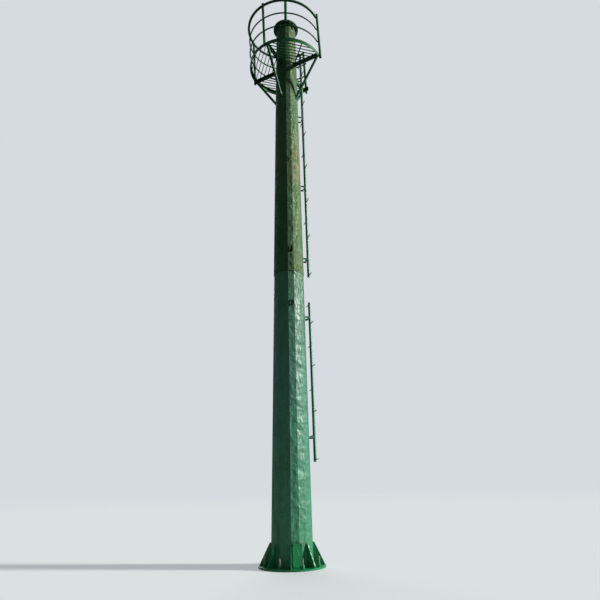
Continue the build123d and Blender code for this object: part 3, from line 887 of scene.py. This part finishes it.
# %% Lugs and head ribs
LUGS = CORNER + STEP * np.array([0.5, 8.5])
LUG_HALF = 0.040
RIB_HALF = 0.005
RIB_LINE = np.array([[0.245], [0.296]])
for angle in LUGS:
    for node, upper in (("upper_jacking_lugs", True), ("lower_jacking_lugs", False)):
        lug_edge = corners_of(rectangle(LUG_HALF, *levels(node)), OPEN_BELOW)
        shaft_welds.append(plate_weld(angle, lug_edge, upper))
rib_edge = corners_of(rectangle(RIB_HALF, *levels("head_flange_ribs")), OPEN_ABOVE)
for angle in GUSSETS:
    shaft_welds.append(plate_weld(angle, rib_edge, True, 0.004, False))
    shaft_welds += line_welds(angle, RIB_LINE, RIB_HALF, HEAD, -UP, 0.004)
piece("shaft_welds", join(shaft_welds), pole, 60.0)

# %% [markdown]
# ### Pipes and plates
# The platform is mostly pipe. Where a rail passes a post, the two cylinders cut each other in a
# saddle curve, and its formula needs only their radii and how far apart their axes are. A peg in
# the climbing rail is the same curve with the axes crossing. Where a pipe only clings to a face,
# it is held by a straight bead on either side.

# %% Saddles and clinging pipes
PIPE = 0.03015
BITE = 0.003
CHORD = 0.0131


def saddle(centre, along, outward, thin, thick, gap, hand, leg=0.004):
    """Bead where a pipe meets one side of an upright pipe whose axis stands further out.

    reach(turn) = sqrt(thick^2 - (gap - thin cos turn)^2)
    """
    closed = thin < thick - gap
    widest = math.pi if closed else math.acos((gap - thick) / thin)
    turn = np.linspace(-widest, widest, 25, endpoint=not closed)
    beyond = gap - thin * np.cos(turn)
    reach = hand * np.sqrt(np.clip(thick ** 2 - beyond ** 2, 0.0, None))
    normal = np.cos(turn)[:, None] * outward + np.sin(turn)[:, None] * UP
    path = centre + thin * normal + reach[:, None] * along
    other = reach[:, None] * along - beyond[:, None] * outward
    return bead(path, normal, unit(other), leg, closed)


def cling(angle, face, low, high, leg=0.004):
    """Two upright beads where a pipe bites a little into a face that looks away from the axis.

    chord = sqrt(pipe^2 - (pipe - bite)^2), half the width of the bite
    """
    beads = []
    for hand in (-1, 1):
        path = upright_line(face * out(angle) + hand * CHORD * aside(angle), low, high)
        pipe_side = unit(hand * CHORD * aside(angle) - (PIPE - BITE) * out(angle))
        beads.append(bead(path, out(angle), pipe_side, leg))
    return beads


print("a saddle has", len(saddle(np.zeros(3), aside(0.0), out(0.0), 0.009, PIPE, 0.0, 1)[0]), "points")

# %% [markdown]
# The guard rail leans to the left, more so the higher up. A rail that ends at a post has a bead
# on one side of it only, and one that runs on past the post has two.

# %% Guard rail
POSTS = np.radians([63.0, -33.0, -120.0, -214.0])
PLATFORM_RADIUS = 0.905
POST_RADIUS = PLATFORM_RADIUS + PIPE - BITE
THIN_RAIL = 0.01685
THIN_RAIL_RADIUS = POST_RADIUS - PIPE - THIN_RAIL + BITE
GUARD_LEAN = 0.048
TOP_RAIL = sum(levels("guard_top_rail")) / 2
LEAN_PIVOT = (ARM_FOOT + FLOOR) / 2


def lean_at(height):
    """How far the guard rail stands off to the left of its true place at a height."""
    return -GUARD_LEAN * (height - LEAN_PIVOT) / (TOP_RAIL - LEAN_PIVOT)


platform_welds = []
for angle in POSTS:
    platform_welds += cling(angle, PLATFORM_RADIUS, ARM_FOOT, FLOOR)
for node, centre_radius, thin, last_hands in (("guard_top_rail", POST_RADIUS - PIPE, PIPE, (1,)),
                                              ("guard_upper_rail", THIN_RAIL_RADIUS, THIN_RAIL, (-1, 1)),
                                              ("guard_lower_rail", THIN_RAIL_RADIUS, THIN_RAIL, (1,))):
    height = sum(levels(node)) / 2
    gap = POST_RADIUS - centre_radius
    for angle, hands in zip(POSTS, ((-1,), (-1, 1), (-1, 1), last_hands)):
        spot = centre_radius * out(angle) + np.array([lean_at(height), 0.0, height])
        for hand in hands:
            platform_welds.append(saddle(spot, aside(angle), out(angle), thin, PIPE, gap, hand))
print(len(platform_welds), "beads on the guard rail")

# %% [markdown]
# A strut leans, so the pipe's cut is an ellipse. Its surface normal is what is left of the way
# from the axis to the rim once the part along the pipe is taken off. Under the arm only the two
# arcs that have steel above them get a bead, and on the foot plate it goes all the way round.

# %% Arms, struts and foot plates
ARMS = np.radians([60.0, -30.0, -120.0, -210.0])
ARM_HALF = 0.024
ARM_TIP = 0.8966
PLATE_HALF = 0.045
PLATE_LEVELS = levels("strut_foot_plates")
# The middle of each end of a strut: its distance from the tower's axis, and its level
STRUT_FOOT = np.array([0.2749, sum(PLATE_LEVELS) / 2])
STRUT_HEAD = np.array([0.8639, ARM_FOOT])
STRUT_AXIS = unit(STRUT_HEAD - STRUT_FOOT)
LEVEL_CUT, UPRIGHT_CUT = PIPE / STRUT_AXIS[1], PIPE / STRUT_AXIS[0]


def strut_weld(angle, place, turn, long_axis, flat_normal, leg, closed):
    """Bead on the elliptic rim of a strut where it meets a level or an upright plate.

    rim(turn) = cos turn * long half axis + sin turn * pipe radius * sideways
    """
    axis = STRUT_AXIS[0] * out(angle) + STRUT_AXIS[1] * UP
    rim = np.cos(turn)[:, None] * long_axis + PIPE * np.sin(turn)[:, None] * aside(angle)
    normal = unit(rim - (rim @ axis)[:, None] * axis)
    return bead(place[0] * out(angle) + place[1] * UP + rim, normal, flat_normal, leg, closed)


arm_root = corners_of(rectangle(ARM_HALF, ARM_FOOT, FLOOR), OPEN_RIGHT)
for angle in ARMS:
    platform_welds.append(plate_weld(angle, arm_root, True, 0.005, False))
    tip = upright_line(ARM_TIP * out(angle) - ARM_HALF * aside(angle), ARM_FOOT + 0.002, FLOOR - 0.010)
    platform_welds.append(bead(tip, -aside(angle), -out(angle), 0.004))
    for middle in (0.0, math.pi):
        arc = middle + np.radians(np.linspace(-50, 50, 15))
        platform_welds.append(strut_weld(angle, STRUT_HEAD, arc, LEVEL_CUT * out(angle), -UP, 0.005, False))
    circle = np.linspace(0, 2 * np.pi, 40, endpoint=False)
    platform_welds.append(strut_weld(angle, STRUT_FOOT, circle, UPRIGHT_CUT * UP, out(angle), 0.004, True))
    platform_welds.append(plate_weld(angle, rectangle(PLATE_HALF, *PLATE_LEVELS), True))
piece("platform_welds", join(platform_welds), platform_paint, 60.0)

# %% [markdown]
# The rod's ribs are welded to its flange and to its tube. Where a tube or the tip meets a reducer,
# the bead goes round in a ring, which is a lathe form with a small hump.

# %% Rod ribs and reducers
LOWER_ROD, UPPER_ROD, ROD_TIP = 0.03805, 0.02415, 0.010
ROD_RIB_HALF = 0.004
ROD_RIB_SEAT = math.sqrt(LOWER_ROD ** 2 - ROD_RIB_HALF ** 2)
ROD_RIB_TOP = levels("rod_base_ribs")[1]
ROD_RIB_LINE = np.array([[0.046], [0.228]])
rod_welds = []
for angle in GUSSETS:
    rod_welds += line_welds(angle, ROD_RIB_LINE, ROD_RIB_HALF, ROD_FOOT, UP, 0.004)
    for hand in (-1, 1):
        seat = ROD_RIB_SEAT * out(angle) + hand * ROD_RIB_HALF * aside(angle)
        rib_side = upright_line(seat, ROD_FOOT + 0.002, ROD_RIB_TOP - 0.003)
        rod_welds.append(bead(rib_side, out(angle), hand * aside(angle), 0.004))
hump = np.array([-0.002, 0.001, 0.0016, 0.001, -0.002])
across_joint = np.array([-0.006, -0.004, 0.0, 0.004, 0.006])
rod_joints = (levels("rod_lower_tube")[1], *levels("rod_upper_tube"), levels("rod_tip")[0])
for height, radius in zip(rod_joints, (LOWER_ROD, UPPER_ROD, UPPER_ROD, ROD_TIP)):
    rod_welds.append(lathe(radius + hump, height + across_joint, 24))
piece("rod_welds", join(rod_welds), platform_paint, 60.0)

# %% [markdown]
# The climbing rail stands 130 mm off the shaft on U-shaped straps. Each strap is welded to the
# shaft by its two feet and to the rail by its back, and every peg has a small collar of weld.

# %% Climbing rail welds
RAIL_TURN = math.radians(105.0)
RAIL_STAND = 0.130
STRAP_SHARES = {"lower": (0.14, 0.89), "upper": (0.063, 0.36, 0.676, 0.856)}
STRAP_FOOT, STRAP_HALF, STRAP_RISE = 0.087, 0.003, 0.020
PEG, PEG_PITCH = 0.009, 0.450


def rail_reach(height, upper):
    """Distance of the climbing rail's middle line from the tower's axis."""
    return shaft_radius(CORNER, height, upper) * math.cos(STEP / 2) + RAIL_STAND


rail_welds = []
for part, shares in STRAP_SHARES.items():
    low, high = levels("climbing_rail_" + part)
    for height in low + np.array(shares) * (high - low):
        points, looks = rectangle(STRAP_HALF, height - STRAP_RISE, height + STRAP_RISE, 0.002)
        for hand in (-1, 1):
            strap_edge = points + [hand * STRAP_FOOT, 0.0], looks
            rail_welds.append(plate_weld(RAIL_TURN, strap_edge, part == "upper", 0.004))
        strap_back = rail_reach(height, part == "upper") - (PIPE - BITE)
        rail_welds += cling(RAIL_TURN, strap_back, height - STRAP_RISE, height + STRAP_RISE)
for part in STRAP_SHARES:
    low, high = levels("climbing_pegs_" + part)
    for index, height in enumerate(np.arange(low + PEG, high, PEG_PITCH)):
        spot = rail_reach(height, part == "upper") * out(RAIL_TURN) + height * UP
        hand = 1 if index % 2 else -1
        rail_welds.append(saddle(spot, aside(RAIL_TURN), out(RAIL_TURN), PEG, PIPE, 0.0, hand, 0.003))
piece("rail_welds", join(rail_welds), rail_paint, 60.0)
print("new pieces:", len(PIECES), "with", sum(PIECES.values()), "triangles")

# %% [markdown]
# ## The studio
# The light is plain. The key sun stands low on the right, as the light fell on the real tower,
# and it is narrow enough that thick paint still glints in it. A wide and weaker sun stands
# behind, so that the rear isn't lost, and the surroundings fill the rest of the shade. What the
# camera sees of the world is a pale grey, by Light Path, and so does a glossy paint, but only at
# a small share, because at full strength that grey would veil the dark side of the pole. The
# floor fades into the same grey far away, so no horizon cuts the picture.

# %% Lamps
def sun(name, azimuth, elevation, strength, width):
    """A sun lamp that shines from an azimuth, 0 in front and 90 at the right, and an elevation."""
    lamp = bpy.data.lights.new(name, "SUN")
    lamp.energy = strength
    lamp.angle = math.radians(width)
    holder = bpy.data.objects.new(name, lamp)
    holder.rotation_euler = (math.radians(90 - elevation), 0.0, math.radians(azimuth))
    bpy.context.scene.collection.objects.link(holder)
    print("the", name, "sun shines from", azimuth, "degrees")


sun("key", azimuth=81.0, elevation=25.0, strength=4.3, width=6.0)
sun("back", azimuth=-172.0, elevation=40.0, strength=1.1, width=50.0)

# %% World
PALE = colour(214, 219, 224)
SHADE_FILL = (0.6, 0.92, 1.0, 1.0)
GLOSSY_SHARE = 0.08


def background_share(tree):
    """1 for a ray that shows the background as it is, a small share for a glossy one, else 0."""
    rays = tree.nodes.new("ShaderNodeLightPath").outputs
    seen = sum_up(tree, "MAXIMUM", rays["Is Camera Ray"], rays["Is Transmission Ray"])
    return sum_up(tree, "MAXIMUM", seen, product(tree, rays["Is Glossy Ray"], GLOSSY_SHARE))


world = bpy.data.worlds.new("pale_studio")
bpy.context.scene.world = world
world.use_nodes = True
sky = world.node_tree
sky.nodes.clear()
fill_light = add(sky, "ShaderNodeBackground", {"Color": SHADE_FILL, "Strength": 0.14}).outputs[0]
backdrop = add(sky, "ShaderNodeBackground", {"Color": PALE, "Strength": 1.0}).outputs[0]
choice = add(sky, "ShaderNodeMixShader", {0: background_share(sky), 1: fill_light, 2: backdrop})
add(sky, "ShaderNodeOutputWorld", {"Surface": choice.outputs[0]})
print("the world has", len(sky.nodes), "nodes")

# %% Floor
FLOOR_RADIUS = 300.0
turn = np.linspace(0, 2 * np.pi, 96, endpoint=False)
rim = np.stack([FLOOR_RADIUS * np.cos(turn), FLOOR_RADIUS * np.sin(turn), np.zeros_like(turn)], axis=1)
floor_mesh = bpy.data.meshes.new("studio_floor")
floor_mesh.from_pydata(rim.tolist(), [], [list(range(len(rim)))])
floor = bpy.data.objects.new("studio_floor", floor_mesh)
bpy.context.scene.collection.objects.link(floor)
floor_finish, floor_tree, floor_shader, floor_place = start_material("studio_floor")
floor_seen = background_share(floor_tree)
distance = sum_up_vectors(floor_tree, "LENGTH", floor_place)
from_pole = ramp(floor_tree, distance, 3.0, 9.0)
bounce = blend_colour(floor_tree, from_pole, colour(147, 147, 142), colour(20, 20, 20))
tint = blend_colour(floor_tree, floor_seen, bounce, colour(232, 232, 230))
floor_tree.links.new(tint, floor_shader.inputs["Base Color"])
floor_shader.inputs["Roughness"].default_value = 0.9
far = product(floor_tree, ramp(floor_tree, distance, 6.0, 90.0, 0.35, 1.0), floor_seen)
glow = add(floor_tree, "ShaderNodeEmission", {"Color": PALE, "Strength": 1.0})
faded = add(floor_tree, "ShaderNodeMixShader", {0: far, 1: floor_shader.outputs[0], 2: glow.outputs[0]})
floor_tree.links.new(faded.outputs[0], floor_tree.nodes["Material Output"].inputs["Surface"])
floor_mesh.materials.append(floor_finish)
print("studio ready")

# %% Finish
view = bpy.context.scene.view_settings
view.view_transform = "Standard"
